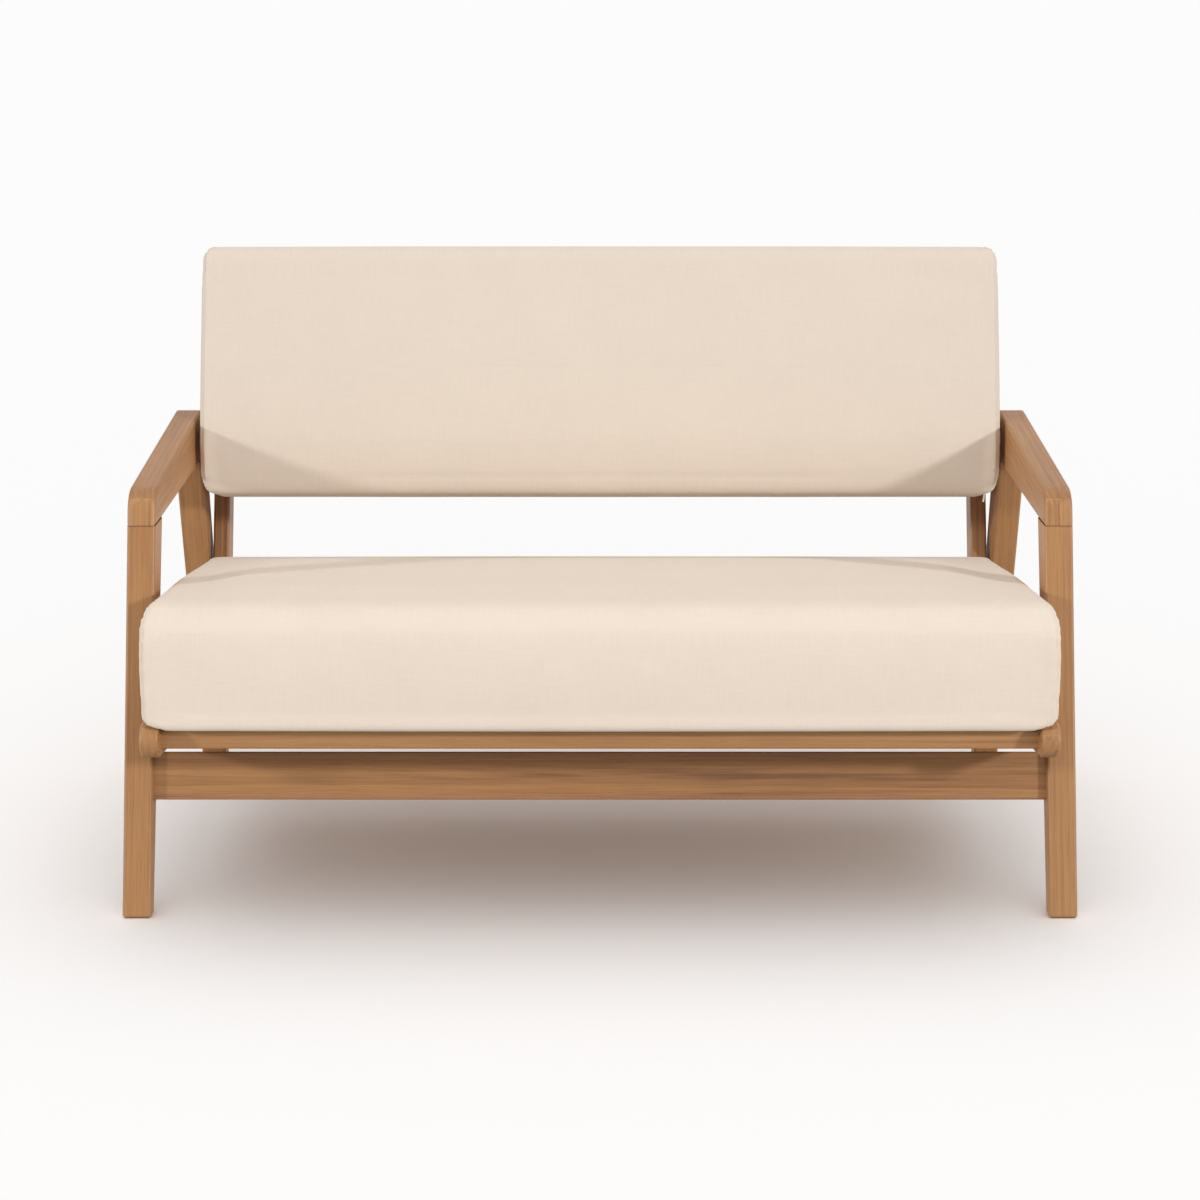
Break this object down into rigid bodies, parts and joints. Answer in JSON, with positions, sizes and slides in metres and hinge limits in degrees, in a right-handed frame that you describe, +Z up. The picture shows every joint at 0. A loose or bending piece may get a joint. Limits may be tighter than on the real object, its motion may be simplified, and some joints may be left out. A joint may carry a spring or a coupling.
{
  "type": "patio loveseat",
  "caption": "Low two-seat patio sofa with leaning wooden side frames, sloping slatted seat and back, and loose cream box cushions.",
  "frame": {"origin": "on the floor, under the middle of the whole part's box", "axes": "+Z up, -Y to the front, +X to the right as seen from the front"},
  "size_m": [1.27, 0.8017, 0.8241],
  "materials": {
    "acacia": "oiled, satin",
    "cushion_fabric": "plain woven outdoor cloth, matt",
    "webbing": "woven tape",
    "nylon": "moulded, matt",
    "stainless_steel": "brushed"
  },
  "bodies": {
    "frame": {"arm_left": "acacia", "arm_right": "acacia", "back_post_left": "acacia", "back_post_right": "acacia", "back_slat_1": "acacia", "back_slat_2": "acacia", "back_slat_3": "acacia", "back_slat_4": "acacia", "back_strap_1": "webbing", "back_strap_2": "webbing", "back_strap_3": "webbing", "back_strap_4": "webbing", "foot_glides": "nylon", "frame_bolts": "stainless_steel", "frame_spacers": "stainless_steel", "front_apron": "acacia", "front_leg_left": "acacia", "front_leg_right": "acacia", "rear_apron": "acacia", "rear_leg_left": "acacia", "rear_leg_right": "acacia", "seat_front_rail": "acacia", "seat_rail_left": "acacia", "seat_rail_right": "acacia", "seat_rear_rail": "acacia", "seat_slat_1": "acacia", "seat_slat_10": "acacia", "seat_slat_11": "acacia", "seat_slat_2": "acacia", "seat_slat_3": "acacia", "seat_slat_4": "acacia", "seat_slat_5": "acacia", "seat_slat_6": "acacia", "seat_slat_7": "acacia", "seat_slat_8": "acacia", "seat_slat_9": "acacia"},
    "seat_cushion": {"seat_cushion": "cushion_fabric"},
    "back_cushion": {"back_cushion": "cushion_fabric"}
  },
  "joints": [
    {"name": "seat_cushion_slide", "type": "slide", "parent": "frame", "child": "seat_cushion", "axis": [0, -0.9923, 0.1236], "range_m": [0, 0.56]},
    {"name": "back_cushion_lift", "type": "slide", "parent": "frame", "child": "back_cushion", "axis": [0, -0.9397, 0.342], "range_m": [0, 0.35]}
  ]
}
